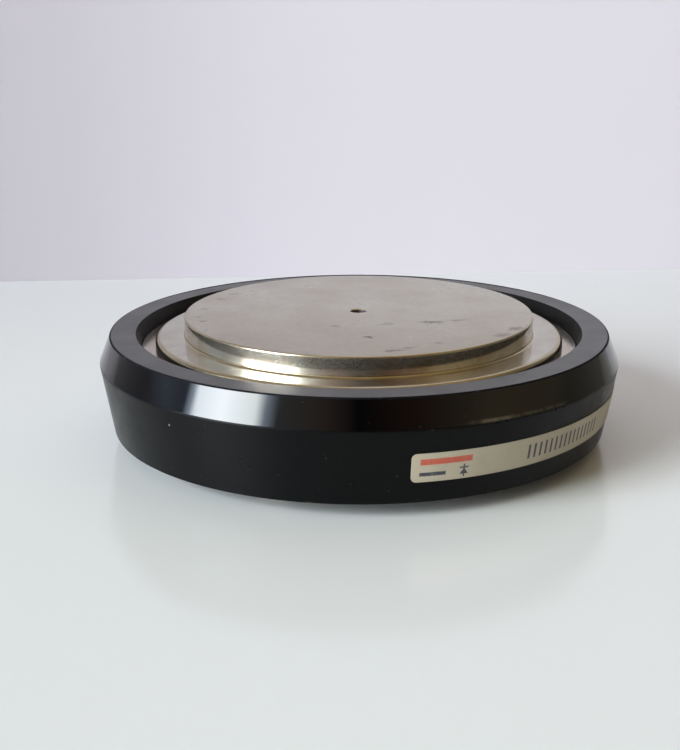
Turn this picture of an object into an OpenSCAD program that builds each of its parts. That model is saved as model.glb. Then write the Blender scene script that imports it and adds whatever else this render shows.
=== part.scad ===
// Disc rectifier diode: a silicon wafer clamped between two nickel-plated copper
// pole pieces, inside a moulded black ring.
// The origin is the centre of the lower (anode) contact face, and +Z points to the cathode.

/* [Whole cell] */
// Height over the two contact faces
cell_h = 26; // [25:0.5:36]
// How far each contact face stands out of the ring
face_proud = 3; // [1.5:0.25:3.5]

/* [Moulded ring] */
// Thickness of the ring's wall at its shoulder, outside the recess
wall_w = 8.75; // [6:0.05:14]
// Height of the upper cone, from the shoulder to the upper rim
cone_h = 5.6; // [3:0.2:8]
// How much smaller the upper rim is than the shoulder, on the radius
cone_inset = 2.3; // [1.5:0.1:3.5]
// How much smaller the lower rim is than the shoulder, on the radius
foot_inset = 2.4; // [1.5:0.1:3.5]
// How much the recess opens towards its mouth, on the radius
mouth_draft = 0.9; // [0.2:0.05:1]
// Width of the ledge that carries each sheet ring
ledge_w = 1.5; // [1:0.1:2.2]
// Radius of the outer edges of the rims
rim_round = 0.4; // [0.2:0.1:1.2]
// Radius of the inner edges of the rims
mouth_round = 0.3; // [0.1:0.1:0.6]
// Radius of the shoulder's edge
shoulder_round = 1; // [0.2:0.1:1.5]

/* [Pole pieces] */
// Diameter of each pole, at its contact face
pole_d = 74; // [40:0.5:110]
// Height of the contact face above the flange
face_h = 4.1; // [3.6:0.1:5]
// How far the flange stands out of the pole, on the radius
flange_w = 6.2; // [5:0.05:8]
// Thickness of the flange
flange_t = 2; // [1.6:0.1:2.8]
// How far the inner end reaches past the disc that it presses on, on the radius
inner_over = 0.5; // [0.5:0.1:0.8]
// Radius of the contact face's edge
face_round = 0.4; // [0.2:0.1:0.8]
// Fillet at the foot of the pole, on the flange
foot_fillet = 0.7; // [0.3:0.1:1.5]
// Radius of the flange's edge
flange_round = 1; // [0.3:0.1:1.2]
// Chamfer around the inner end
inner_chamfer = 0.4; // [0.2:0.1:0.8]

/* [Centring holes] */
// Diameter of the centring hole in each contact face
hole_d = 3.5; // [2:0.1:6]
// Depth of the hole's straight wall, below the face
hole_depth = 4; // [2:0.25:6]
// Countersink at the mouth of the hole
hole_chamfer = 0.2; // [0.1:0.1:0.5]
// Included angle of the drill point
drill_angle = 118; // [90:1:140]

/* [Sheet rings] */
// Thickness of the sheet rings that close the cell
sheet_t = 0.5; // [0.3:0.1:0.8]
// Width of sheet ring that shows between the flange and the moulded ring
sheet_gap = 2.95; // [2.4:0.05:4]

/* [Wafer stack] */
// How far the silicon wafer reaches past the contact faces, on the radius
wafer_over = 0.75; // [0.5:0.05:1.5]
// Thickness of the silicon wafer
wafer_t = 0.65; // [0.4:0.05:1]
// Width of the bevel ground around the wafer
bevel_w = 0.9; // [0.5:0.1:1.2]
// Thickness of the molybdenum base that the wafer is alloyed to
base_t = 3; // [2:0.1:3.5]
// How far the base stands out past the wafer, on the radius
base_rim = 0.5; // [0.4:0.1:1]
// Thickness of the loose molybdenum disc on the cathode side
disc_t = 1; // [0.6:0.1:1.5]
// Thickness of the silver foils
foil_t = 0.2; // [0.1:0.05:0.3]
// Height of the rubber coating above the wafer
coat_h = 0.7; // [0.3:0.1:0.9]
// How far the coating laps onto the top of the wafer
coat_lap = 1.2; // [0.6:0.1:1.2]
// How far the coating stands out past the wafer, on the base
coat_foot = 0.3; // [0.1:0.1:0.4]

/* [Centring ring] */
// Wall thickness of the insulating ring around the wafer stack
collar_t = 2.2; // [1.5:0.1:3]
// Thickness of the insulating ring's foot
collar_foot_t = 1.5; // [1:0.1:2]
// How far the insulating ring rises above the wafer
collar_rise = 2; // [1:0.25:3]

/* [Label] */
// Length of the label, along the ring
label_len = 75; // [20:1:150]
// Width of the label, down the slope of the ring
label_w = 5.75; // [3:0.25:9]
// Thickness of the label
label_t = 0.15; // [0.1:0.05:0.3]
// Height of the label's middle above the lower rim
label_mid = 7.05; // [5.5:0.05:9.5]
// Angle of the label's left end, from +X
label_start = -80; // [-180:0.5:180]
// Radius of the label's corners
label_corner = 1; // [0.3:0.1:1.4]

/* [Fits] */
// Gap around each sheet ring, at the pole and in its seat
sheet_clear = 0.1; // [0.05:0.05:0.3]
// Gap around the insulating ring, at the pole, the base and the bore
collar_clear = 0.15; // [0.1:0.05:0.4]
// Gap between the loose molybdenum disc and the rubber coating around it
disc_clear = 0.9; // [0.6:0.1:1.5]

/* [Hidden] */

$fn = 240;
arc_steps = 6;   // straight steps in a rounded corner of an outline
tool_over = 1;   // how far a cutting tool runs past the face that it cuts
corner_cut = 1.04;   // a corner is cut this much wider than its radius, so that the
                     // cut crosses the label's edges and doesn't end on them

// Radii, from the contact face outwards
pole_r = pole_d / 2;
hole_r = hole_d / 2;
flange_r = pole_r + flange_w;
seat_r = flange_r + sheet_gap;
bore_r = seat_r - ledge_w;
mouth_r = seat_r + mouth_draft;
housing_r = seat_r + wall_w;
rim_r = housing_r - cone_inset;
foot_r = housing_r - foot_inset;

// Radii of the wafer stack, from the wafer inwards and outwards
wafer_r = pole_r + wafer_over;
wafer_top_r = wafer_r - bevel_w;
coat_bore_r = wafer_top_r - coat_lap;
disc_r = coat_bore_r - disc_clear;
inner_r = disc_r + inner_over;
base_r = wafer_r + base_rim;
collar_bore_r = base_r + collar_clear;
collar_r = collar_bore_r + collar_t;

// Heights of the moulded ring
rim_z = cell_h - face_proud;
foot_z = face_proud;
shoulder_z = rim_z - cone_h;
wall_slope = foot_inset / (shoulder_z - foot_z);

// Heights of the pole pieces, the same from either contact face
sheet_depth = face_h + flange_t;
ledge_depth = sheet_depth + sheet_t;

// Heights of the wafer stack, from the anode pole up
stack_h = foil_t + base_t + wafer_t + disc_t + foil_t;
pole_h = (cell_h - stack_h) / 2;
base_z = pole_h + foil_t;
wafer_z = base_z + base_t;
disc_z = wafer_z + wafer_t;
cathode_foil_z = disc_z + disc_t;

// An outline is a list of [radius, height, rounding] corners.
// A corner with a rounding becomes an arc that touches both of its edges.
function unit(v) = v / norm(v);
function flat(p) = [p.x, p.y];
function arc_corner(before, corner, after, r) =
    let (u = unit(before - corner),
         w = unit(after - corner),
         half = acos(u * w) / 2,
         middle = corner + unit(u + w) * r / sin(half),
         first = corner + u * r / tan(half) - middle,
         last = corner + w * r / tan(half) - middle,
         turn = sign(first.x * last.y - first.y * last.x) * (180 - 2 * half))
    [for (i = [0:arc_steps])
        let (a = turn * i / arc_steps)
        middle + [first.x * cos(a) - first.y * sin(a), first.x * sin(a) + first.y * cos(a)]];
function rounded(outline) =
    let (n = len(outline))
    [for (i = [0:n - 1])
        each outline[i].z == 0
            ? [flat(outline[i])]
            : arc_corner(flat(outline[(i + n - 1) % n]), flat(outline[i]),
                         flat(outline[(i + 1) % n]), outline[i].z)];
function wall_r(z) = foot_r + wall_slope * (z - foot_z);

module turned(outline) {
    rotate_extrude() polygon(rounded(outline));
}

// The same piece on the cathode side, turned over onto the upper face
module on_cathode_side() {
    translate([0, 0, cell_h]) mirror([0, 0, 1]) children();
}

module disc(r, z, t) {
    translate([0, 0, z]) cylinder(r = r, h = t);
}

// Moulded ring: a cone above the shoulder, a drafted wall below it, and a recess
// with a ledge on each side that takes the sheet rings
module housing_ring() {
    color([0.13, 0.13, 0.14])
    turned([[bore_r, ledge_depth, 0],
            [seat_r, ledge_depth, 0],
            [mouth_r, foot_z, mouth_round],
            [foot_r, foot_z, rim_round],
            [housing_r, shoulder_z, shoulder_round],
            [rim_r, rim_z, rim_round],
            [mouth_r, rim_z, mouth_round],
            [seat_r, cell_h - ledge_depth, 0],
            [bore_r, cell_h - ledge_depth, 0]]);
}

// Turned copper pole piece, with its contact face down at z = 0. The centring hole has
// a countersunk mouth and a drill point.
module pole() {
    color([0.72, 0.7, 0.68])
    turned([[0, hole_depth + hole_r / tan(drill_angle / 2), 0],
            [hole_r, hole_depth, 0],
            [hole_r, hole_chamfer, 0],
            [hole_r + hole_chamfer, 0, 0],
            [pole_r, 0, face_round],
            [pole_r, face_h, foot_fillet],
            [flange_r, face_h, flange_round],
            [flange_r, sheet_depth, 0],
            [inner_r, sheet_depth, 0],
            [inner_r, pole_h - inner_chamfer, 0],
            [inner_r - inner_chamfer, pole_h, 0],
            [0, pole_h, 0]]);
}

module anode_pole() {
    pole();
}

module cathode_pole() {
    on_cathode_side() pole();
}

// Thin ring that is brazed under the flange and bonded onto the ledge of the moulded ring
module sheet_ring() {
    color([0.78, 0.77, 0.75])
    translate([0, 0, sheet_depth])
    difference() {
        cylinder(r = seat_r - sheet_clear, h = sheet_t);
        translate([0, 0, -tool_over])
            cylinder(r = inner_r + sheet_clear, h = sheet_t + 2 * tool_over);
    }
}

module anode_sheet_ring() {
    sheet_ring();
}

module cathode_sheet_ring() {
    on_cathode_side() sheet_ring();
}

module anode_foil() {
    color([0.9, 0.9, 0.92]) disc(disc_r, pole_h, foil_t);
}

module molybdenum_base() {
    color([0.5, 0.52, 0.55]) disc(base_r, base_z, base_t);
}

// Wafer with its edge ground to a bevel, widest on the base
module silicon_wafer() {
    color([0.3, 0.33, 0.4])
    translate([0, 0, wafer_z])
        cylinder(r1 = wafer_r, r2 = wafer_top_r, h = wafer_t);
}

// Silicone rubber bead that seals the bevel, from the base over the wafer's top
module edge_coating() {
    color([0.75, 0.3, 0.25])
    translate([0, 0, wafer_z])
    turned([[wafer_r, 0, 0],
            [wafer_r + coat_foot, 0, 0],
            [wafer_r, wafer_t + coat_h, coat_h / 2],
            [coat_bore_r, wafer_t + coat_h, coat_h / 2],
            [coat_bore_r, wafer_t, 0],
            [wafer_top_r, wafer_t, 0]]);
}

module molybdenum_disc() {
    color([0.5, 0.52, 0.55]) disc(disc_r, disc_z, disc_t);
}

module cathode_foil() {
    color([0.9, 0.9, 0.92]) disc(disc_r, cathode_foil_z, foil_t);
}

// Insulating ring: its foot fills the bore, and its collar holds the wafer's base
// in line with the poles
module centring_ring() {
    color([0.93, 0.92, 0.88])
    turned([[inner_r + collar_clear, ledge_depth, 0],
            [bore_r - collar_clear, ledge_depth, 0],
            [bore_r - collar_clear, ledge_depth + collar_foot_t, 0],
            [collar_r, ledge_depth + collar_foot_t, 0],
            [collar_r, disc_z + collar_rise, 0],
            [collar_bore_r, disc_z + collar_rise, 0],
            [collar_bore_r, pole_h, 0],
            [inner_r + collar_clear, pole_h, 0]]);
}

// Tool for one rounded corner of the label: x runs along the label, y across it
module corner_tool() {
    rotate([90, 0, 90])
        linear_extrude(housing_r)
            difference() {
                translate([-tool_over, -tool_over]) square(label_corner + tool_over);
                translate([label_corner, label_corner]) circle(r = label_corner * corner_cut);
            }
}

// Sticker on the drafted wall, with rounded corners
module label() {
    rise = label_w * cos(atan(wall_slope)) / 2;
    low_z = foot_z + label_mid - rise;
    high_z = foot_z + label_mid + rise;
    span = label_len / wall_r(foot_z + label_mid) * 180 / PI;
    color([0.86, 0.83, 0.76])
    rotate([0, 0, label_start])
    difference() {
        rotate_extrude(angle = span)
            polygon([[wall_r(low_z), low_z],
                     [wall_r(low_z) + label_t, low_z],
                     [wall_r(high_z) + label_t, high_z],
                     [wall_r(high_z), high_z]]);
        translate([0, 0, low_z]) corner_tool();
        translate([0, 0, high_z]) mirror([0, 0, 1]) corner_tool();
        rotate([0, 0, span]) mirror([0, 1, 0]) {
            translate([0, 0, low_z]) corner_tool();
            translate([0, 0, high_z]) mirror([0, 0, 1]) corner_tool();
        }
    }
}

housing_ring();
anode_pole();
cathode_pole();
anode_sheet_ring();
cathode_sheet_ring();
anode_foil();
molybdenum_base();
silicon_wafer();
edge_coating();
molybdenum_disc();
cathode_foil();
centring_ring();
label();
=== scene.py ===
import math

import bmesh
import bpy
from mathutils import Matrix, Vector


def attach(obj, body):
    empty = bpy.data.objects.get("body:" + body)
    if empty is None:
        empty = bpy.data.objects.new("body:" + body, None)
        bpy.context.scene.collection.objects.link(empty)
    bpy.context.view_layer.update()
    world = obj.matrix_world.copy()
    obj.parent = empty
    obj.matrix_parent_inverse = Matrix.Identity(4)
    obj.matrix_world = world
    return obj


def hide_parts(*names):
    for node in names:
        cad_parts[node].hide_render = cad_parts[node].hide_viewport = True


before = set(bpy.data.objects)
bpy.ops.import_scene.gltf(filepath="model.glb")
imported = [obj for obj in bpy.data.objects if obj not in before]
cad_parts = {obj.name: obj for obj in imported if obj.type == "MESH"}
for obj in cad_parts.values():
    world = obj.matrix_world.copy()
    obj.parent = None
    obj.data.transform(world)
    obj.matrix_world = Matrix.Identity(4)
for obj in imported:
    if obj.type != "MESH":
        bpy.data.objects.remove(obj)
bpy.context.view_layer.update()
print("frame loaded:", len(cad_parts), "nodes")

mm = 0.001
fullTurn = 2 * math.pi
mergeGap = 0.002 * mm  # points closer than this are one point
roundSteps = 6  # edges in a rounded corner
sharpAngle = math.radians(28)  # steeper corners stay sharp when shaded


# Camera, fitted to the circles of the ring and the contact face

camera = {
    "place": (0, -252.69, 86.05),
    "turn": (73.591, 0.135, 0.861),
    "lens": 58.156,
    "sensor": 36,
}


def placeCamera():
    deselectAll()
    bpy.ops.object.camera_add()
    eye = bpy.context.object
    eye.name = "camera"
    eye.location = [part * mm for part in camera["place"]]
    eye.rotation_euler = [math.radians(part) for part in camera["turn"]]
    eye.data.lens = camera["lens"]
    eye.data.sensor_width = camera["sensor"]
    eye.data.clip_start = mm
    bpy.context.scene.camera = eye
    bpy.context.scene.view_settings.view_transform = "Standard"
    print("camera placed")


# Modelling helpers

def deselectAll():
    if bpy.context.mode != "OBJECT":
        bpy.ops.object.mode_set(mode="OBJECT")
    bpy.ops.object.select_all(action="DESELECT")


def pickPoints(piece, wanted):
    bpy.ops.mesh.select_mode(type="VERT")
    bpy.ops.mesh.select_all(action="DESELECT")
    mesh = bmesh.from_edit_mesh(piece.data)
    for point in mesh.verts:
        if wanted(point.co):
            point.select_set(True)
    mesh.select_flush_mode()
    bmesh.update_edit_mesh(piece.data)


def outlinePoint(corner):
    return Vector((corner[0] * mm, 0, corner[1] * mm))


# One point is drawn out along the corners, and then the corners that have a
# rounding are bevelled. A corner is (radius, height) or (radius, height, rounding).
def drawOutline(name, corners, closed):
    deselectAll()
    bpy.ops.mesh.primitive_plane_add(size=mm)
    piece = bpy.context.object
    piece.name = name
    piece.data.name = name
    bpy.ops.object.mode_set(mode="EDIT")
    bpy.ops.mesh.select_all(action="SELECT")
    bpy.ops.mesh.merge(type="CENTER")
    bpy.ops.transform.translate(value=outlinePoint(corners[0]))
    for last, corner in zip(corners, corners[1:]):
        step = outlinePoint(corner) - outlinePoint(last)
        bpy.ops.mesh.extrude_vertices_move(TRANSFORM_OT_translate={"value": step})
    if closed:
        ends = [outlinePoint(corners[0]), outlinePoint(corners[-1])]
        pickPoints(piece, lambda spot: min((spot - end).length for end in ends) < mergeGap)
        bpy.ops.mesh.edge_face_add()
    for number, corner in enumerate(corners):
        if len(corner) > 2:
            before = corners[number - 1]
            after = corners[(number + 1) % len(corners)]
            roundCorner(piece, before, corner, after)
    return piece


def roundCorner(piece, before, corner, after):
    spot = outlinePoint(corner)
    half = (outlinePoint(before) - spot).angle(outlinePoint(after) - spot) / 2
    cut = corner[2] * mm / math.tan(half)
    pickPoints(piece, lambda point: (point - spot).length < mergeGap)
    bpy.ops.mesh.bevel(offset=cut, segments=roundSteps, profile=0.5, affect="VERTICES")


def spinOutline(steps):
    bpy.ops.mesh.select_all(action="SELECT")
    bpy.ops.mesh.spin(steps=steps, angle=fullTurn, center=(0, 0, 0), axis=(0, 0, 1))
    bpy.ops.mesh.select_all(action="SELECT")
    bpy.ops.mesh.remove_doubles(threshold=mergeGap)
    bpy.ops.mesh.normals_make_consistent(inside=False)
    bpy.ops.object.mode_set(mode="OBJECT")


def smoothPiece(piece):
    bpy.ops.object.shade_smooth_by_angle(angle=sharpAngle)
    weighted = piece.modifiers.new("weightedNormals", "WEIGHTED_NORMAL")
    weighted.keep_sharp = True
    bpy.ops.object.modifier_apply(modifier=weighted.name)


def turnPiece(name, corners, closed=True, steps=256):
    piece = drawOutline(name, corners, closed)
    spinOutline(steps)
    return piece


# The finishes are named, and the zone says which of them a face takes
def dressPiece(piece, node, finishes, zone=None):
    numbers = {}
    for name, finish in finishes.items():
        numbers[name] = len(numbers)
        piece.data.materials.append(finish)
    if zone:
        for face in piece.data.polygons:
            face.material_index = numbers[zone(face)]
    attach(piece, "root")
    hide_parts(node)
    print(piece.name, "made,", len(piece.data.polygons), "faces")


# Material helpers

def startFinish(name):
    finish = bpy.data.materials.new(name)
    finish.use_nodes = True
    return finish


def addNode(finish, kind, inputs=None, **settings):
    node = finish.node_tree.nodes.new("ShaderNode" + kind)
    for key, value in settings.items():
        setattr(node, key, value)
    setInputs(finish, node, inputs or {})
    return node


def setInputs(finish, node, inputs):
    for key, value in inputs.items():
        if isinstance(value, bpy.types.NodeSocket):
            finish.node_tree.links.new(value, node.inputs[key])
        else:
            node.inputs[key].default_value = value


def setShader(finish, inputs):
    setInputs(finish, finish.node_tree.nodes["Principled BSDF"], inputs)


def setMetal(finish, colour, roughness, normal, metallic=1.0):
    inputs = {"Base Color": colour, "Metallic": metallic, "Roughness": roughness, "Normal": normal}
    setShader(finish, inputs)


def objectPlace(finish):
    return addNode(finish, "TexCoord").outputs["Object"]


def calc(finish, operation, first, second=0.0, third=0.0):
    inputs = {0: first, 1: second, 2: third}
    return addNode(finish, "Math", inputs, operation=operation).outputs[0]


def fade(finish, value, fromLow, fromHigh, toLow=0.0, toHigh=1.0):
    inputs = {
        "Value": value,
        "From Min": fromLow,
        "From Max": fromHigh,
        "To Min": toLow,
        "To Max": toHigh,
    }
    return addNode(finish, "MapRange", inputs, interpolation_type="SMOOTHSTEP").outputs[0]


def mixColours(finish, amount, first, second):
    inputs = {0: amount, 6: first, 7: second}
    return addNode(finish, "Mix", inputs, data_type="RGBA").outputs[2]


def noise(finish, place, size, detail=2.0, roughness=0.5):
    inputs = {"Vector": place, "Scale": 1 / (size * mm), "Detail": detail, "Roughness": roughness}
    return addNode(finish, "TexNoise", inputs).outputs["Fac"]


def bump(finish, height, depth):
    inputs = {"Height": height, "Distance": depth * mm, "Strength": 1.0}
    return addNode(finish, "Bump", inputs).outputs["Normal"]


# The x, y and z of a place
def placeParts(finish, place):
    return addNode(finish, "SeparateXYZ", {0: place}).outputs


def axisDistance(finish, place):
    parts = placeParts(finish, place)
    back = calc(finish, "POWER", parts[1], 2.0)
    return calc(finish, "SQRT", calc(finish, "MULTIPLY_ADD", parts[0], parts[0], back))


def axisAngle(finish, place):
    parts = placeParts(finish, place)
    return calc(finish, "ARCTAN2", parts[1], parts[0])


# Marks that a lathe leaves: noise that changes with radius and height alone
def turningMarks(finish, place, size):
    inputs = {0: axisDistance(finish, place), 1: placeParts(finish, place)[2]}
    section = addNode(finish, "CombineXYZ", inputs).outputs[0]
    return noise(finish, section, size, detail=3.0)


# How far a value is from a level, whichever side it is on
def gapTo(finish, value, level):
    return calc(finish, "ABSOLUTE", calc(finish, "SUBTRACT", value, level))


# A roughness that follows a pattern, a little below and above its usual value
def unevenRoughness(finish, pattern, usual, below, above):
    return fade(finish, pattern, 0.3, 0.7, usual - below, usual + above)


# Colours that follow one another along a value. A stop is (value, colour).
def colourRow(finish, value, stops):
    row = addNode(finish, "ValToRGB", {0: value})
    marks = row.color_ramp.elements
    for number, (place, colour) in enumerate(stops):
        mark = marks[number] if number < len(marks) else marks.new(place)
        mark.position = place
        mark.color = (*colour, 1)
    return row.outputs[0]


# 1 inside a stretch of the value and 0 outside it, with soft ends
def between(finish, value, low, high, soft):
    start = fade(finish, value, low - soft, low + soft)
    end = fade(finish, value, high + soft, high - soft)
    return calc(finish, "MULTIPLY", start, end)


# Nickel-plated pole pieces

poleFinish = {
    "faceColour": (0.518, 0.49, 0.402, 1),
    "faceColourAged": (0.49, 0.438, 0.366, 1),
    "frontColour": (0.43, 0.375, 0.295, 1),
    # the places across which the contact face turns to its front colour
    "frontFade": (5, -35),
    "faceRoughness": 0.30,
    "wallColour": (0.73, 0.685, 0.605, 1),
    "wallColourAged": (0.64, 0.555, 0.44, 1),
    "wallMarks": 0.0009,
    "flangeColour": (0.53, 0.51, 0.445, 1),
    "flangeColourAged": (0.46, 0.42, 0.345, 1),
    "flangeMarks": 0.0003,
    # the polished metal's and the patina's
    "turnedRoughness": (0.05, 0.33),
    "rubbedColour": (0.46, 0.395, 0.27, 1),
    "rubbedColourAged": (0.41, 0.34, 0.215, 1),
    "rubbedMarks": 0.0003,
    # painted shade: the flange's edge is dark as if in the shadow of a gap under it
    "edgeColour": (0.16, 0.13, 0.13, 1),
    "edgeRoughness": 0.35,
    # height of the edge's pale line over the underside of the flange
    "edgeLine": 0.45,
    "holeColour": (0.24, 0.20, 0.205, 1),
    "holeRoughness": 0.45,
    "stainColour": (0.045, 0.04, 0.05, 1),
    "stainDulls": 0.25,
    "stainCovers": 0.85,
    # place across and back, half length, half width, turn in degrees, strength
    "stains": [
        (15.2, -10.1, 3.0, 1.3, 4, 0.95),
        (20.4, -8.4, 3.2, 0.9, 8, 0.5),
        (6.1, -11.8, 1.8, 1.1, 10, 0.55),
        (2.1, -22.4, 1.4, 1.2, -20, 1.0),
        (-4.5, -13.6, 1.6, 1.0, -25, 0.5),
        (6.7, -32.6, 2.6, 0.9, 10, 0.75),
        (9.7, -30.5, 1.9, 0.8, 25, 0.45),
        (15.5, -26.9, 1.6, 1.0, 5, 0.5),
        (28.6, -20.6, 2.8, 1.6, 30, 0.6),
        (31.8, -15.6, 3.0, 1.6, 50, 0.65),
        (-28.2, 16.2, 1.5, 1.3, 10, 0.4),
        (-30.6, 11.0, 1.4, 1.3, 20, 0.45),
        (-32.1, -9.5, 1.0, 1.0, 0, 0.6),
        (-33.8, -5.9, 1.0, 1.0, 0, 0.5),
        (-33.0, 1.3, 1.1, 1.2, 0, 0.4),
        (-24.2, 19.3, 1.1, 1.0, 0, 0.35),
    ],
}


def stainMask(finish, place, stain):
    across, back, halfLength, halfWidth, turn, strength = stain
    inputs = {
        "Vector": place,
        "Location": (across * mm, back * mm, 0),
        "Rotation": (0, 0, math.radians(turn)),
        "Scale": (halfLength * mm, halfWidth * mm, 1),
    }
    moved = addNode(finish, "Mapping", inputs, vector_type="TEXTURE").outputs[0]
    flat = addNode(finish, "VectorMath", {0: moved, 1: (1, 1, 0)}, operation="MULTIPLY").outputs[0]
    fromMiddle = addNode(finish, "VectorMath", {0: flat}, operation="LENGTH").outputs["Value"]
    return fade(finish, fromMiddle, 1.15, 0.1, 0.0, strength)


# The place, shaken by noise, so that a spot drawn on it gets a ragged outline
def raggedPlace(finish, place, size, reach):
    inputs = {"Vector": place, "Scale": 1 / (size * mm), "Detail": 3.0}
    drift = addNode(finish, "TexNoise", inputs).outputs["Color"]
    inputs = {0: drift, 1: (0.5, 0.5, 0.5)}
    drift = addNode(finish, "VectorMath", inputs, operation="SUBTRACT").outputs[0]
    inputs = {0: drift, 1: (reach * mm, reach * mm, 0), 2: place}
    return addNode(finish, "VectorMath", inputs, operation="MULTIPLY_ADD").outputs[0]


def makeStains(finish, place, stains):
    ragged = raggedPlace(finish, place, size=1.4, reach=3.0)
    total = 0.0
    for stain in stains:
        total = calc(finish, "MAXIMUM", total, stainMask(finish, ragged, stain))
    grain = noise(finish, place, 0.7, detail=3.0, roughness=0.65)
    return calc(finish, "MULTIPLY", total, fade(finish, grain, 0.28, 0.55, 0.35, 1.0))


def makeFaceFinish(name, stains):
    finish = startFinish(name)
    place = objectPlace(finish)
    blotches = noise(finish, place, 14, detail=3.0)
    grain = noise(finish, place, 1.5, detail=2.0, roughness=0.6)
    back = placeParts(finish, place)[1]
    aged = fade(finish, blotches, 0.35, 0.7)
    front = fade(finish, back, *[edge * mm for edge in poleFinish["frontFade"]])
    soiled = fade(finish, grain, 0.35, 0.75, 0.0, 0.10)
    colour = mixColours(finish, aged, poleFinish["faceColour"], poleFinish["faceColourAged"])
    colour = mixColours(finish, front, colour, poleFinish["frontColour"])
    colour = mixColours(finish, soiled, colour, poleFinish["stainColour"])
    roughness = unevenRoughness(finish, blotches, poleFinish["faceRoughness"], 0.03, 0.04)
    metallic = 1.0
    if stains:
        total = makeStains(finish, place, stains)
        colour = mixColours(finish, total, colour, poleFinish["stainColour"])
        roughness = calc(finish, "MULTIPLY_ADD", total, poleFinish["stainDulls"], roughness)
        metallic = calc(finish, "MULTIPLY_ADD", total, -poleFinish["stainCovers"], 1.0)
    normal = bump(finish, noise(finish, place, 2.5, detail=1.0), 0.002)
    setMetal(finish, colour, roughness, normal, metallic)
    return finish


# Turned metal: the marks run around it, so they blur a reflection up and down only.
# Each part of the pole piece has its own colours and its own depth of marks.
def makeTurnedFinish(name, part):
    finish = startFinish(name)
    place = objectPlace(finish)
    marks = turningMarks(finish, place, 0.04)
    patina = noise(finish, place, 0.06, detail=1.0)
    aged = fade(finish, noise(finish, place, 5, detail=4.0), 0.38, 0.68)
    colour = mixColours(finish, aged, poleFinish[part + "Colour"], poleFinish[part + "ColourAged"])
    roughness = fade(finish, patina, 0.46, 0.57, *poleFinish["turnedRoughness"])
    setMetal(finish, colour, roughness, bump(finish, marks, poleFinish[part + "Marks"]))
    return finish


def makeHoleFinish():
    finish = startFinish("drilledHole")
    marks = turningMarks(finish, objectPlace(finish), 0.2)
    soiled = fade(finish, marks, 0.3, 0.7, 0.0, 0.3)
    colour = mixColours(finish, soiled, poleFinish["holeColour"], poleFinish["stainColour"])
    setMetal(finish, colour, poleFinish["holeRoughness"], bump(finish, marks, 0.01))
    return finish


# The flange's edge is painted dark, as painted shade of the gap under the flange, with a paler line
# along its middle
def makeShadedEdgeFinish():
    finish = startFinish("shadedFlangeEdge")
    place = objectPlace(finish)
    depth = fromFace(finish, placeParts(finish, place)[2])
    fromLine = gapTo(finish, depth, (underFlange() - poleFinish["edgeLine"]) * mm)
    line = fade(finish, fromLine, 0.18 * mm, 0.06 * mm, 0.0, 0.3)
    blotches = noise(finish, place, 3, detail=3.0)
    colour = mixColours(finish, line, poleFinish["edgeColour"], poleFinish["wallColourAged"])
    roughness = unevenRoughness(finish, blotches, poleFinish["edgeRoughness"], 0.05, 0.08)
    setShader(finish, {"Base Color": colour, "Metallic": 1.0, "Roughness": roughness})
    return finish


# Height below the nearer contact face, on either pole piece
def fromFace(finish, height):
    return calc(finish, "MINIMUM", height, calc(finish, "SUBTRACT", cellHeight * mm, height))


# Pole pieces, turned from copper. Heights are measured from the contact face.
pole = {
    "faceRadius": 37.0,
    "faceRound": 0.4,
    "faceHeight": 4.1,
    "footFillet": 0.45,
    "flangeRadius": 43.2,
    "flangeThickness": 2.0,
    "flangeRound": 1.0,
    "innerRadius": 35.25,
    "innerChamfer": 0.4,
    "poleHeight": 10.475,
    "holeRadius": 1.75,
    "holeDepth": 4.0,
    "holeChamfer": 0.2,
    "drillAngle": 118,
}
cellHeight = 26.0

# Limits between the finishes: how level a face is, from 0 for upright to 1, and a
# gap in millimetres
limits = {
    "upright": 0.1,
    "edge": 0.2,
    "level": 0.985,
    "flat": 0.998,
    "gap": 0.002,
}


def underFlange():
    return pole["faceHeight"] + pole["flangeThickness"]


def poleOutline():
    drillTip = pole["holeDepth"] + pole["holeRadius"] / math.tan(math.radians(pole["drillAngle"] / 2))
    return [
        (0, drillTip),
        (pole["holeRadius"], pole["holeDepth"]),
        (pole["holeRadius"], pole["holeChamfer"]),
        (pole["holeRadius"] + pole["holeChamfer"], 0),
        (pole["faceRadius"], 0, pole["faceRound"]),
        (pole["faceRadius"], pole["faceHeight"], pole["footFillet"]),
        (pole["flangeRadius"], pole["faceHeight"], pole["flangeRound"]),
        (pole["flangeRadius"], underFlange()),
        (pole["innerRadius"], underFlange()),
        (pole["innerRadius"], pole["poleHeight"] - pole["innerChamfer"]),
        (pole["innerRadius"] - pole["innerChamfer"], pole["poleHeight"]),
        (0, pole["poleHeight"]),
    ]


def away(spot):
    return math.hypot(spot.x, spot.y)


def poleZone(faceHeight):
    def zone(face):
        depth = abs(face.center.z / mm - faceHeight)
        reach = away(face.center) / mm
        level = abs(face.normal.z)
        if depth < limits["gap"]:
            return "face"
        if reach < pole["holeRadius"] + limits["gap"]:
            return "hole"
        # the flange's upright side takes the edge finish, which is painted shade
        if reach > pole["flangeRadius"] - pole["flangeRound"] and level < limits["flat"]:
            return "edge" if level < limits["edge"] else "rubbed"
        overEdge = reach > pole["faceRadius"] - pole["faceRound"] and depth < pole["faceRound"]
        if overEdge and level > limits["upright"]:
            return "rubbed"
        fromFoot = max(abs(reach - pole["faceRadius"]), abs(depth - pole["faceHeight"]))
        if fromFoot < pole["footFillet"] and limits["upright"] < level < limits["level"]:
            return "rubbed"
        return "wall" if depth < pole["faceHeight"] - limits["gap"] else "flange"
    return zone


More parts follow.
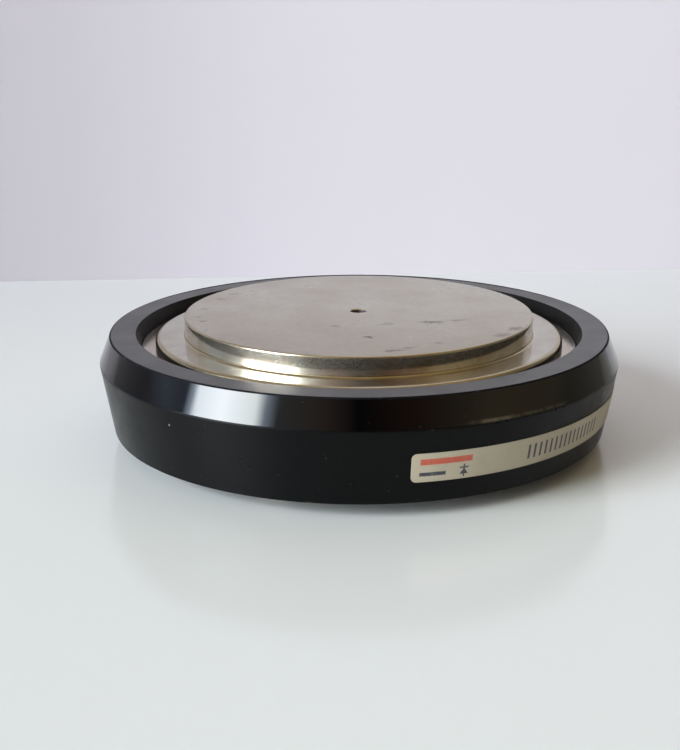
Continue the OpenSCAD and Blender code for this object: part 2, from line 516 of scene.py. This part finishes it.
def makePoles():
    stained = makeFaceFinish("contactFace", poleFinish["stains"])
    plain = makeFaceFinish("contactFacePlain", [])
    others = {
        "wall": makeTurnedFinish("polishedNickel", "wall"),
        "edge": makeShadedEdgeFinish(),
        "hole": makeHoleFinish(),
        "flange": makeTurnedFinish("flangeNickel", "flange"),
        "rubbed": makeTurnedFinish("rubbedNickel", "rubbed"),
    }
    outline = poleOutline()
    over = [(corner[0], cellHeight - corner[1], *corner[2:]) for corner in outline]
    for name, node, corners, face, faceHeight in (
        ("anodePole", "anode_pole", outline, plain, 0),
        ("cathodePole", "cathode_pole", over, stained, cellHeight),
    ):
        piece = turnPiece(name, corners, closed=False, steps=360)
        smoothPiece(piece)
        dressPiece(piece, node, {"face": face, **others}, poleZone(faceHeight))


# Moulded ring

ring = {
    "shoulderRadius": 54.9,
    "shoulderHeight": 17.4,
    "rimRadius": 52.6,
    "rimHeight": 23.0,
    "footRadius": 52.5,
    "footHeight": 3.0,
    "mouthRadius": 47.05,
    "seatRadius": 46.15,
    "boreRadius": 44.65,
    "ledgeDepth": 6.6,
    "rimRound": 0.4,
    "rimMargin": 0.25,
    "mouthRound": 0.3,
    "shoulderRound": 1.0,
    # the gloss starts this far above the shoulder
    "satinOver": 0.15,
    # angle around the axis, radius and height of the edge, depth, half length, half height
    "nicks": [
        (-63.4, 54.82, 17.4, 0.12, 0.9, 0.4),
        (-61.2, 54.82, 17.5, 0.16, 0.6, 0.35),
        (-48.9, 54.82, 17.4, 0.12, 0.7, 0.3),
        (-46.6, 54.82, 17.5, 0.15, 0.5, 0.35),
        (76.2, 52.45, 22.85, 0.16, 0.8, 0.3),
        (72.8, 52.45, 22.85, 0.14, 0.6, 0.3),
        (70.1, 52.45, 22.85, 0.16, 0.7, 0.3),
        (66.4, 52.45, 22.85, 0.12, 0.5, 0.25),
    ],
}

ringFinish = {
    "glossColour": (0.0008, 0.0008, 0.001, 1),
    "glossRoughness": 0.06,
    "satinColour": (0.0012, 0.0014, 0.0016, 1),
    "satinRoughness": 0.31,
    "satinSpecular": 0.13,
    "recessColour": (0.0025, 0.0026, 0.0028, 1),
    "recessRoughness": 0.40,
    "recessSpecular": 0.2,
    "groundColour": (0.040, 0.039, 0.040, 1),
    "groundRoughness": 0.38,
    # the strip of dark skin is this wide in front and behind, and widens between these places; the
    # widening towards the back is painted shade
    "skinAndShadeWidth": (0.2, 1.3),
    "shadeWidensFrom": (15, 45),
    "edgeColour": (0.003, 0.003, 0.004, 1),
    "edgeRoughness": 0.6,
    "edgeSpecular": 0.1,
    "dustColour": (0.10, 0.09, 0.08, 1),
    "chipColour": (0.30, 0.28, 0.26, 1),
    "chippedStretch": (65, 78),
    "wearColour": (0.075, 0.062, 0.045, 1),
    "wearFrom": -70.5,
    "wearTo": -44.0,
    "wearHeight": 17.9,
    "wearPatch": (-66.3, -59.8),
    "speckPlace": (-34.8, -41.8, 14.25),
}


# The colour with specks of dust on it
def dusty(finish, place, colour, size, share, strength):
    inputs = {"Vector": place, "Scale": 1 / (size * mm)}
    cell = addNode(finish, "TexVoronoi", inputs)
    spots = fade(finish, cell.outputs["Distance"], 0.16, 0.06)
    few = fade(finish, noise(finish, place, size * 1.7, detail=0.0), 1 - share, 1.04 - share)
    dust = calc(finish, "MULTIPLY", calc(finish, "MULTIPLY", spots, few), strength)
    return mixColours(finish, dust, colour, ringFinish["dustColour"])


def worn(finish, place, colour):
    return mixColours(finish, wearMask(finish, place), colour, ringFinish["wearColour"])


# One pale speck has a place of its own
def speckled(finish, place, colour):
    spot = tuple(part * mm for part in ringFinish["speckPlace"])
    fromSpot = addNode(finish, "VectorMath", {0: place, 1: spot}, operation="DISTANCE").outputs["Value"]
    speck = fade(finish, fromSpot, 0.28 * mm, 0.1 * mm, 0.0, 0.6)
    return mixColours(finish, speck, colour, ringFinish["chipColour"])


def makeGlossFinish():
    finish = startFinish("glossMould")
    place = objectPlace(finish)
    peel = noise(finish, place, 2.5, detail=2.0)
    smear = noise(finish, place, 5, detail=4.0, roughness=0.6)
    colour = dusty(finish, place, ringFinish["glossColour"], size=0.8, share=0.36, strength=0.4)
    colour = worn(finish, place, colour)
    gloss = ringFinish["glossRoughness"]
    roughness = fade(finish, smear, 0.35, 0.75, gloss - 0.02, gloss + 0.05)
    normal = bump(finish, peel, 0.0010)
    setShader(finish, {"Base Color": colour, "Roughness": roughness, "Normal": normal})
    return finish


# The satin wall and the recess differ in colour, roughness and specular level
def makeSatinFinish(name, part):
    finish = startFinish(name)
    place = objectPlace(finish)
    grain = noise(finish, place, 0.25, detail=2.0)
    smear = noise(finish, place, 6, detail=4.0, roughness=0.6)
    colour = dusty(finish, place, ringFinish[part + "Colour"], size=1.6, share=0.40, strength=0.35)
    colour = speckled(finish, place, worn(finish, place, colour))
    setShader(finish, {
        "Base Color": colour,
        "Roughness": unevenRoughness(finish, smear, ringFinish[part + "Roughness"], 0.04, 0.06),
        "Normal": bump(finish, grain, 0.003),
        "Specular IOR Level": ringFinish[part + "Specular"],
    })
    return finish


# Just over the shoulder's edge the ring is rubbed to a brownish line, over part of
# its way around, with a paler patch in it
def wearMask(finish, place):
    height = placeParts(finish, place)[2]
    angle = axisAngle(finish, place)
    line = fade(finish, gapTo(finish, height, ringFinish["wearHeight"] * mm), 0.5 * mm, 0.05 * mm)
    first, last = ringFinish["wearFrom"], ringFinish["wearTo"]
    start = fade(finish, angle, math.radians(first), math.radians(first + 4))
    end = fade(finish, angle, math.radians(last), math.radians(last - 3))
    edges = [math.radians(edge) for edge in ringFinish["wearPatch"]]
    patch = between(finish, angle, *edges, math.radians(1.2))
    broken = fade(finish, noise(finish, place, 1.6, detail=3.0), 0.38, 0.65, 0.12, 0.5)
    mask = calc(finish, "MULTIPLY", calc(finish, "MULTIPLY", start, end), line)
    return calc(finish, "MULTIPLY", mask, calc(finish, "MULTIPLY_ADD", patch, 0.5, broken))


def makeGroundFinish():
    finish = startFinish("groundRim")
    place = objectPlace(finish)
    grain = noise(finish, place, 0.5, detail=2.0)
    smear = noise(finish, place, 9, detail=3.0)
    skinAndShade = skinAndShadeMask(finish, place)
    colour = dusty(finish, place, ringFinish["groundColour"], size=1.3, share=0.38, strength=0.4)
    # dark skin, and painted shade along the back of the rim's edge
    colour = mixColours(finish, skinAndShade, colour, ringFinish["edgeColour"])
    roughness = unevenRoughness(finish, smear, ringFinish["groundRoughness"], 0.03, 0.04)
    roughness = calc(finish, "MULTIPLY_ADD", skinAndShade, ringFinish["edgeRoughness"], roughness)
    normal = bump(finish, grain, 0.004)
    setShader(finish, {"Base Color": colour, "Roughness": roughness, "Normal": normal})
    return finish


# The grinding left a strip of dark skin along the rim's outer edge; it is widened at the back as
# painted shade, for the dark line along the far edge
def skinAndShadeMask(finish, place):
    back = placeParts(finish, place)[1]
    start, end = [reach * mm for reach in ringFinish["shadeWidensFrom"]]
    width = fade(finish, back, start, end, *[wide * mm for wide in ringFinish["skinAndShadeWidth"]])
    fromEdge = calc(finish, "SUBTRACT", ring["rimRadius"] * mm, axisDistance(finish, place))
    return fade(finish, calc(finish, "SUBTRACT", fromEdge, width), 0.1 * mm, -0.1 * mm)


# The outer edge of each rim is dull and keeps the moulded skin. A stretch of it is chipped.
def makeRimEdgeFinish():
    finish = startFinish("rimEdge")
    place = objectPlace(finish)
    grain = noise(finish, place, 0.3, detail=3.0)
    chalk = fade(finish, noise(finish, place, 2.2, detail=4.0), 0.60, 0.72, 0.0, 0.25)
    edges = [math.radians(edge) for edge in ringFinish["chippedStretch"]]
    stretch = between(finish, axisAngle(finish, place), *edges, math.radians(2))
    chips = fade(finish, noise(finish, place, 0.8, detail=2.0), 0.55, 0.60)
    chips = calc(finish, "MULTIPLY", stretch, chips)
    colour = mixColours(finish, chalk, ringFinish["edgeColour"], ringFinish["dustColour"])
    setShader(finish, {
        "Base Color": mixColours(finish, chips, colour, ringFinish["chipColour"]),
        "Roughness": unevenRoughness(finish, grain, ringFinish["edgeRoughness"], 0.05, 0.1),
        "Specular IOR Level": ringFinish["edgeSpecular"],
    })
    return finish


def ringOutline():
    upper = cellHeight - ring["ledgeDepth"]
    return [
        (ring["boreRadius"], ring["ledgeDepth"]),
        (ring["seatRadius"], ring["ledgeDepth"]),
        (ring["mouthRadius"], ring["footHeight"], ring["mouthRound"]),
        (ring["footRadius"] - ring["rimMargin"], ring["footHeight"]),
        (ring["footRadius"], ring["footHeight"], ring["rimRound"]),
        (ring["shoulderRadius"], ring["shoulderHeight"], ring["shoulderRound"]),
        (ring["rimRadius"], ring["rimHeight"], ring["rimRound"]),
        (ring["rimRadius"] - ring["rimMargin"], ring["rimHeight"]),
        (ring["mouthRadius"], ring["rimHeight"], ring["mouthRound"]),
        (ring["seatRadius"], upper),
        (ring["boreRadius"], upper),
    ]


# Each nick is a flat scoop, set on the edge and cut out of the ring
def cutNicks(piece):
    scoops = []
    for angle, edge, height, depth, halfLength, halfHeight in ring["nicks"]:
        reach = edge + halfHeight - depth
        turn = math.radians(angle)
        deselectAll()
        bpy.ops.mesh.primitive_ico_sphere_add(
            subdivisions=3,
            radius=halfHeight * mm,
            location=(reach * mm * math.cos(turn), reach * mm * math.sin(turn), height * mm),
            rotation=(0, 0, turn),
            scale=(1, halfLength / halfHeight, 1),
        )
        scoops.append(bpy.context.object)
    for scoop in scoops:
        cut = piece.modifiers.new("nick", "BOOLEAN")
        cut.operation = "DIFFERENCE"
        cut.solver = "EXACT"
        cut.object = scoop
        deselectAll()
        bpy.context.view_layer.objects.active = piece
        piece.select_set(True)
        bpy.ops.object.modifier_apply(modifier=cut.name)
        bpy.data.objects.remove(scoop)


def ringZone(face):
    upper = face.center.z > cellHeight * mm / 2
    reach = away(face.center) / mm
    if reach < ring["mouthRadius"] - 0.02:
        return "recess"
    if abs(face.normal.z) > limits["level"]:
        edge = ring["rimRadius"] if upper else ring["footRadius"]
        return "rimEdge" if reach > edge - ring["rimMargin"] else "ground"
    fromMiddle = abs(face.center.z / mm - cellHeight / 2)
    if fromMiddle > cellHeight / 2 - ring["footHeight"] - ring["rimRound"]:
        return "rimEdge"
    return "gloss" if face.center.z > (ring["shoulderHeight"] + ring["satinOver"]) * mm else "satin"


def makeRing():
    finishes = {
        "gloss": makeGlossFinish(),
        "satin": makeSatinFinish("satinMould", "satin"),
        "ground": makeGroundFinish(),
        "rimEdge": makeRimEdgeFinish(),
        "recess": makeSatinFinish("recessMould", "recess"),
    }
    piece = turnPiece("housingRing", ringOutline(), steps=720)
    cutNicks(piece)
    smoothPiece(piece)
    dressPiece(piece, "housing_ring", finishes, ringZone)


# Sheet rings between the flange and the ring

sheet = {
    "innerRadius": 35.35,
    "outerRadius": 46.05,
    "depth": 6.1,
    "thickness": 0.5,
    "edgeRound": 0.06,
    "colour": (0.50, 0.43, 0.36, 1),
    "colourAged": (0.43, 0.35, 0.28, 1),
    "roughness": 0.14,
}


def makeSheetFinish():
    finish = startFinish("sheetMetal")
    place = objectPlace(finish)
    marks = turningMarks(finish, place, 0.2)
    aged = fade(finish, noise(finish, place, 5, detail=3.0), 0.4, 0.7)
    colour = mixColours(finish, aged, sheet["colour"], sheet["colourAged"])
    roughness = unevenRoughness(finish, marks, sheet["roughness"], 0.03, 0.05)
    setMetal(finish, colour, roughness, bump(finish, noise(finish, place, 3, detail=1.0), 0.01))
    return finish


def makeSheetRings():
    finish = makeSheetFinish()
    low = sheet["depth"]
    high = sheet["depth"] + sheet["thickness"]
    soft = sheet["edgeRound"]
    for name, node, heights in (
        ("anodeSheetRing", "anode_sheet_ring", (low, high)),
        ("cathodeSheetRing", "cathode_sheet_ring", (cellHeight - high, cellHeight - low)),
    ):
        piece = turnPiece(name, [
            (sheet["innerRadius"], heights[0], soft),
            (sheet["outerRadius"], heights[0], soft),
            (sheet["outerRadius"], heights[1], soft),
            (sheet["innerRadius"], heights[1], soft),
        ])
        smoothPiece(piece)
        dressPiece(piece, node, {"sheet": finish})


# Label on the drafted wall. Places on it are millimetres from its left end and its middle.

label = {
    "length": 75.0,
    "width": 5.75,
    "thickness": 0.15,
    "middle": 10.05,
    "start": -80.0,
    "corner": 1.0,
    "strips": 90,
    "cornerSteps": 5,
    "paperColour": (0.46, 0.41, 0.31, 1),
    "paperColourAged": (0.39, 0.335, 0.24, 1),
    "roughness": 0.42,
    "redInk": (0.50, 0.09, 0.05, 1),
    "darkInk": (0.035, 0.035, 0.06, 1),
    # left and right ends, lower and upper edges
    "redBar": (1.6, 11.4, 0.55, 1.75),
    "darkBar": (1.5, 6.4, -1.7, -0.95),
    "symbolMiddle": 9.9,
    "symbolFoot": -1.95,
    "symbolTop": -0.75,
    "symbolHalfWidth": 0.85,
    "symbolBar": 0.3,
    "symbolLead": 0.5,
    "ticksFrom": 23.4,
    "ticksTo": 46.6,
    "tickStep": 1.45,
    "tickShare": 0.36,
    "tickFoot": -1.5,
    "tickTop": 1.4,
    "inkEdge": 0.09,
}


def wallSlope():
    rise = ring["shoulderHeight"] - ring["footHeight"]
    return (ring["shoulderRadius"] - ring["footRadius"]) / rise


def wallRadius(height):
    return ring["footRadius"] + wallSlope() * (height - ring["footHeight"])


def makeLabelStrip():
    deselectAll()
    bpy.ops.mesh.primitive_plane_add(size=mm)
    piece = bpy.context.object
    piece.name = "label_print"
    bpy.ops.object.mode_set(mode="EDIT")
    bpy.ops.mesh.select_all(action="SELECT")
    bpy.ops.transform.resize(value=(label["length"], label["width"], 1))
    bpy.ops.mesh.bevel(
        offset=label["corner"] * mm,
        segments=label["cornerSteps"],
        profile=0.5,
        affect="VERTICES",
    )
    for number in range(1, label["strips"]):
        across = (number / label["strips"] - 0.5) * label["length"] * mm
        bpy.ops.mesh.select_all(action="SELECT")
        bpy.ops.mesh.bisect(plane_co=(across, 0, 0), plane_no=(1, 0, 0))
    bpy.ops.object.mode_set(mode="OBJECT")
    return piece


def printPlaces(piece):
    places = piece.data.uv_layers.new(name="printPlaces")
    for loop in piece.data.loops:
        spot = piece.data.vertices[loop.vertex_index].co
        places.data[loop.index].uv = (spot.x / mm + label["length"] / 2, spot.y / mm)


# The flat strip is wrapped around the wall: x becomes an angle, y a height
def wrapLabel(piece):
    lean = math.cos(math.atan(wallSlope()))
    middleRadius = wallRadius(label["middle"])
    for point in piece.data.vertices:
        along = point.co.x / mm + label["length"] / 2
        turn = math.radians(label["start"]) + along / middleRadius
        height = label["middle"] + point.co.y / mm * lean
        reach = wallRadius(height) + point.co.z / mm
        point.co = Vector((reach * math.cos(turn), reach * math.sin(turn), height)) * mm


def makeLabel():
    piece = makeLabelStrip()
    printPlaces(piece)
    thick = piece.modifiers.new("thickness", "SOLIDIFY")
    thick.thickness = label["thickness"] * mm
    thick.offset = 1
    bpy.ops.object.modifier_apply(modifier=thick.name)
    wrapLabel(piece)
    bpy.ops.object.mode_set(mode="EDIT")
    bpy.ops.mesh.select_all(action="SELECT")
    bpy.ops.mesh.normals_make_consistent(inside=False)
    bpy.ops.object.mode_set(mode="OBJECT")
    bpy.ops.object.shade_smooth_by_angle(angle=sharpAngle)
    dressPiece(piece, "label", {"film": makeLabelFinish()})


def inkBox(finish, along, across, box):
    left, right, low, high = box
    columns = between(finish, along, left, right, label["inkEdge"])
    rows = between(finish, across, low, high, label["inkEdge"])
    return calc(finish, "MULTIPLY", columns, rows)


# A triangle that points up to a bar, with a lead above and below: the sign of a diode
def polaritySign(finish, along, across):
    middle, half = label["symbolMiddle"], label["symbolHalfWidth"]
    foot, top = label["symbolFoot"], label["symbolTop"]
    bar, lead = label["symbolBar"], label["symbolLead"]
    soft = label["inkEdge"]
    side = calc(finish, "MULTIPLY", calc(finish, "SUBTRACT", top, across), half / (top - foot))
    past = calc(finish, "SUBTRACT", gapTo(finish, along, middle), side)
    rows = between(finish, across, foot, top, soft)
    triangle = calc(finish, "MULTIPLY", fade(finish, past, soft, -soft), rows)
    cross = inkBox(finish, along, across, (middle - half, middle + half, top, top + bar))
    leadBox = (middle - bar / 2, middle + bar / 2, foot - lead, top + bar + lead)
    leads = inkBox(finish, along, across, leadBox)
    return calc(finish, "MAXIMUM", triangle, calc(finish, "MAXIMUM", cross, leads))


# A plain row of upright ticks
def tickRow(finish, along, across):
    step = calc(finish, "FRACT", calc(finish, "DIVIDE", along, label["tickStep"]))
    half = label["tickShare"] / 2
    tick = between(finish, step, 0.5 - half, 0.5 + half, 0.05)
    box = (label["ticksFrom"], label["ticksTo"], label["tickFoot"], label["tickTop"])
    return calc(finish, "MULTIPLY", tick, inkBox(finish, along, across, box))


def makeLabelFinish():
    finish = startFinish("labelFilm")
    place = objectPlace(finish)
    parts = placeParts(finish, addNode(finish, "UVMap", uv_map="printPlaces").outputs[0])
    along, across = parts[0], parts[1]
    grain = noise(finish, place, 0.35, detail=3.0, roughness=0.7)
    yellowed = fade(finish, noise(finish, place, 8, detail=3.0), 0.4, 0.7)
    soiled = fade(finish, grain, 0.35, 0.8, 0.0, 0.25)
    colour = mixColours(finish, yellowed, label["paperColour"], label["paperColourAged"])
    colour = mixColours(finish, soiled, colour, label["paperColourAged"])
    inkCover = fade(finish, grain, 0.25, 0.55, 0.72, 1.0)
    red = inkBox(finish, along, across, label["redBar"])
    dark = inkBox(finish, along, across, label["darkBar"])
    dark = calc(finish, "MAXIMUM", dark, polaritySign(finish, along, across))
    dark = calc(finish, "MAXIMUM", dark, tickRow(finish, along, across))
    for ink, shade in ((red, label["redInk"]), (dark, label["darkInk"])):
        colour = mixColours(finish, calc(finish, "MULTIPLY", ink, inkCover), colour, shade)
    roughness = unevenRoughness(finish, grain, label["roughness"], 0.04, 0.06)
    normal = bump(finish, grain, 0.004)
    setShader(finish, {"Base Color": colour, "Roughness": roughness, "Normal": normal})
    return finish


# Pieces inside the cell, which keep their exact shapes

# for each finish its pieces, colour, metallic and roughness
innerFinishes = {
    "silverFoil": (("anode_foil", "cathode_foil"), (0.88, 0.86, 0.82), 1.0, 0.25),
    "lappedMolybdenum": (("molybdenum_base", "molybdenum_disc"), (0.42, 0.43, 0.45), 1.0, 0.38),
    "polishedSilicon": (("silicon_wafer",), (0.26, 0.28, 0.34), 1.0, 0.08),
    "siliconeRubber": (("edge_coating",), (0.46, 0.10, 0.07), 0.0, 0.45),
    "paleInsulator": (("centring_ring",), (0.80, 0.79, 0.74), 0.0, 0.50),
}


def makeInnerFinish(name, colour, metallic, gloss):
    finish = startFinish(name)
    place = objectPlace(finish)
    grain = noise(finish, place, 0.4, detail=3.0)
    patches = fade(finish, noise(finish, place, 6, detail=3.0), 0.35, 0.7)
    darker = [0.85 * part for part in colour]
    colour = mixColours(finish, patches, (*colour, 1), (*darker, 1))
    roughness = unevenRoughness(finish, grain, gloss, 0.04, 0.06)
    setMetal(finish, colour, roughness, bump(finish, grain, 0.003), metallic)
    return finish


def dressInnerPieces():
    for name, (nodes, colour, metallic, gloss) in innerFinishes.items():
        finish = makeInnerFinish(name, colour, metallic, gloss)
        for node in nodes:
            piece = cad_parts[node]
            piece.data.materials.clear()
            piece.data.materials.append(finish)
    print("inner pieces dressed")


# Stage: a pale floor, a pale sheet standing behind, and a window at the front left

stage = {
    "floorColour": (0.70, 0.73, 0.728, 1),
    "floorFarShadeColour": (0.64, 0.665, 0.665, 1),
    # the floor turns to its far colour, painted shade that darkens it behind, from the axis to this
    # place behind
    "floorFade": 150,
    "floorRoughness": 0.17,
    "halfSize": 8000,
    "sheetHeight": 2500,
    "sheetBack": 163,
    "sheetTurn": 5.4,
    # tones of the sheet by place across it: it is shaded at its left
    "sheetAcross": [
        (-117, (0.44, 0.41, 0.45)),
        (-26, (0.59, 0.555, 0.605)),
        (20, (0.62, 0.585, 0.63)),
    ],
    # over these stretches it fades out for all but the camera
    "sheetLeft": (-265, -205),
    "sheetRight": (255, 185),
    "windowAngle": -147.5,
    "windowRise": 20,
    "windowDistance": 6000,
    "windowWidth": 4850,
    "windowHeight": 3800,
    "windowPower": 1510,
    # tones of the window by angle around the axis: its sides are veiled
    "windowAround": [
        (-168, (0.0, 0.0, 0.0)),
        (-164.5, (0.15, 0.18, 0.22)),
        (-162, (0.60, 0.65, 0.70)),
        (-150, (0.80, 0.85, 0.90)),
        (-136, (0.60, 0.65, 0.65)),
        (-132, (0.10, 0.12, 0.15)),
        (-127, (0.0, 0.0, 0.0)),
    ],
    # the room's upper part begins between these sines of its rise, and is warmer
    # between the two angles of frontSky
    "skyRise": (0.50, 0.85),
    "skyColour": (0.50, 0.46, 0.40, 1),
    "frontSkyColour": (0.45, 0.35, 0.19, 1),
    "frontSky": (-120, 50),
    "frontSkySoft": 0.25,
    # what the camera itself sees of the room
    "behindColour": (0.78, 0.78, 0.82, 1),
    # tones of the room by angle around the axis: cool at the left, dark in front, warm
    # at the right, plain behind
    "roomAround": [
        (-180, (0.30, 0.30, 0.35)),
        (-130, (0.45, 0.50, 0.50)),
        (-105, (0.35, 0.25, 0.20)),
        (-90, (0.01, 0.01, 0.01)),
        (-65, (0.15, 0.08, 0.05)),
        (-30, (0.35, 0.30, 0.20)),
        (0, (0.17, 0.16, 0.12)),
        (135, (0.30, 0.29, 0.29)),
        (165, (0.17, 0.17, 0.20)),
        (180, (0.30, 0.30, 0.35)),
    ],
    # the same for a low band of the room, which lies between these sines of its rise
    "lowBand": (0.19, 0.36),
    "lowBandSoft": 0.035,
    "lowAround": [
        (-180, (0.45, 0.55, 0.70)),
        (-165, (0.30, 0.35, 0.45)),
        (-130, (0.35, 0.35, 0.35)),
        (-105, (0.35, 0.25, 0.25)),
        (-90, (0.02, 0.02, 0.02)),
        (-60, (0.20, 0.10, 0.05)),
        (-35, (0.45, 0.35, 0.20)),
        (0, (0.30, 0.25, 0.17)),
        (130, (0.30, 0.30, 0.30)),
        (155, (0.70, 0.75, 0.85)),
        (165, (0.40, 0.50, 0.60)),
        (180, (0.45, 0.55, 0.70)),
    ],
}


def makeFloor():
    deselectAll()
    bpy.ops.mesh.primitive_plane_add(size=2 * stage["halfSize"] * mm)
    floor = bpy.context.object
    floor.name = "floor"
    finish = startFinish("floorPaint")
    place = objectPlace(finish)
    # painted shade: the floor darkens from the axis towards the back
    farShade = fade(finish, placeParts(finish, place)[1], 0, stage["floorFade"] * mm)
    colour = mixColours(finish, farShade, stage["floorColour"], stage["floorFarShadeColour"])
    cloudy = noise(finish, place, 60, detail=1.0)
    gloss = stage["floorRoughness"]
    roughness = fade(finish, cloudy, 0.1, 0.9, gloss - 0.03, gloss + 0.03)
    setShader(finish, {"Base Color": colour, "Roughness": roughness})
    floor.data.materials.append(finish)


# The sheet can be seen through from behind, so that it hides nothing in the other
# views. Past its sides only the camera sees it, and the room is reflected.
def makeSheet():
    deselectAll()
    wide = stage["halfSize"] * mm
    high = stage["sheetHeight"] * mm
    upright = (math.radians(90), 0, math.radians(stage["sheetTurn"]))
    bpy.ops.mesh.primitive_plane_add(size=1, rotation=upright)
    backdrop = bpy.context.object
    backdrop.name = "backdrop"
    backdrop.scale = (wide, high, 1)
    backdrop.location = (0, stage["sheetBack"] * mm, high / 2)
    finish = startFinish("backdropPaint")
    across = calc(finish, "MULTIPLY", placeParts(finish, objectPlace(finish))[0], wide)
    share = calc(finish, "MULTIPLY_ADD", across, 1 / wide, 0.5)
    stops = [(place * mm / wide + 0.5, colour) for place, colour in stage["sheetAcross"]]
    colour = colourRow(finish, share, stops)
    setShader(finish, {"Base Color": colour, "Roughness": 0.9, "Specular IOR Level": 0.1})
    left = fade(finish, across, *[edge * mm for edge in stage["sheetLeft"]])
    right = fade(finish, across, *[edge * mm for edge in stage["sheetRight"]])
    seen = addNode(finish, "LightPath").outputs["Is Camera Ray"]
    solid = calc(finish, "MAXIMUM", calc(finish, "MULTIPLY", left, right), seen)
    front = calc(finish, "SUBTRACT", 1.0, addNode(finish, "NewGeometry").outputs["Backfacing"])
    nodes = finish.node_tree.nodes
    inputs = {
        0: calc(finish, "MULTIPLY", solid, front),
        1: addNode(finish, "BsdfTransparent").outputs[0],
        2: nodes["Principled BSDF"].outputs[0],
    }
    shown = addNode(finish, "MixShader", inputs).outputs[0]
    setInputs(finish, nodes["Material Output"], {"Surface": shown})
    backdrop.data.materials.append(finish)


def direction(angle, rise):
    turn, up = math.radians(angle), math.radians(rise)
    return Vector((math.cos(turn) * math.cos(up), math.sin(turn) * math.cos(up), math.sin(up)))


def windowPlace(angle):
    aside = math.tan(math.radians(angle - stage["windowAngle"])) * stage["windowDistance"]
    return 0.5 + aside / stage["windowWidth"]


def makeWindow():
    towards = direction(stage["windowAngle"], stage["windowRise"])
    deselectAll()
    bpy.ops.object.light_add(type="AREA", location=towards * stage["windowDistance"] * mm)
    window = bpy.context.object
    window.name = "window"
    window.rotation_euler = towards.to_track_quat("Z", "Y").to_euler()
    lamp = window.data
    lamp.shape = "RECTANGLE"
    lamp.size = stage["windowWidth"] * mm
    lamp.size_y = stage["windowHeight"] * mm
    lamp.energy = stage["windowPower"]
    lamp.use_nodes = True
    across = placeParts(lamp, addNode(lamp, "NewGeometry").outputs["Parametric"])[0]
    stops = [(windowPlace(angle), colour) for angle, colour in stage["windowAround"]]
    colour = colourRow(lamp, across, stops)
    setInputs(lamp, lamp.node_tree.nodes["Emission"], {"Color": colour})


def makeRoom():
    world = bpy.data.worlds.new("room")
    bpy.context.scene.world = world
    world.use_nodes = True
    ahead = placeParts(world, addNode(world, "TexCoord").outputs["Generated"])
    angle = calc(world, "ARCTAN2", ahead[1], ahead[0])
    around = calc(world, "MULTIPLY_ADD", angle, 1 / fullTurn, 0.5)
    colour, low = [
        colourRow(world, around, [(turn / 360 + 0.5, tone) for turn, tone in stage[row]])
        for row in ("roomAround", "lowAround")
    ]
    band = between(world, ahead[2], *stage["lowBand"], stage["lowBandSoft"])
    colour = mixColours(world, band, colour, low)
    edges = [math.radians(edge) for edge in stage["frontSky"]]
    front = between(world, angle, *edges, stage["frontSkySoft"])
    sky = mixColours(world, front, stage["skyColour"], stage["frontSkyColour"])
    colour = mixColours(world, fade(world, ahead[2], *stage["skyRise"]), colour, sky)
    seen = addNode(world, "LightPath").outputs["Is Camera Ray"]
    colour = mixColours(world, seen, colour, stage["behindColour"])
    setInputs(world, world.node_tree.nodes["Background"], {"Color": colour, "Strength": 1.0})


placeCamera()
makeFloor()
makeSheet()
makeWindow()
makeRoom()
print("stage made")
makePoles()
makeRing()
makeSheetRings()
makeLabel()
dressInnerPieces()
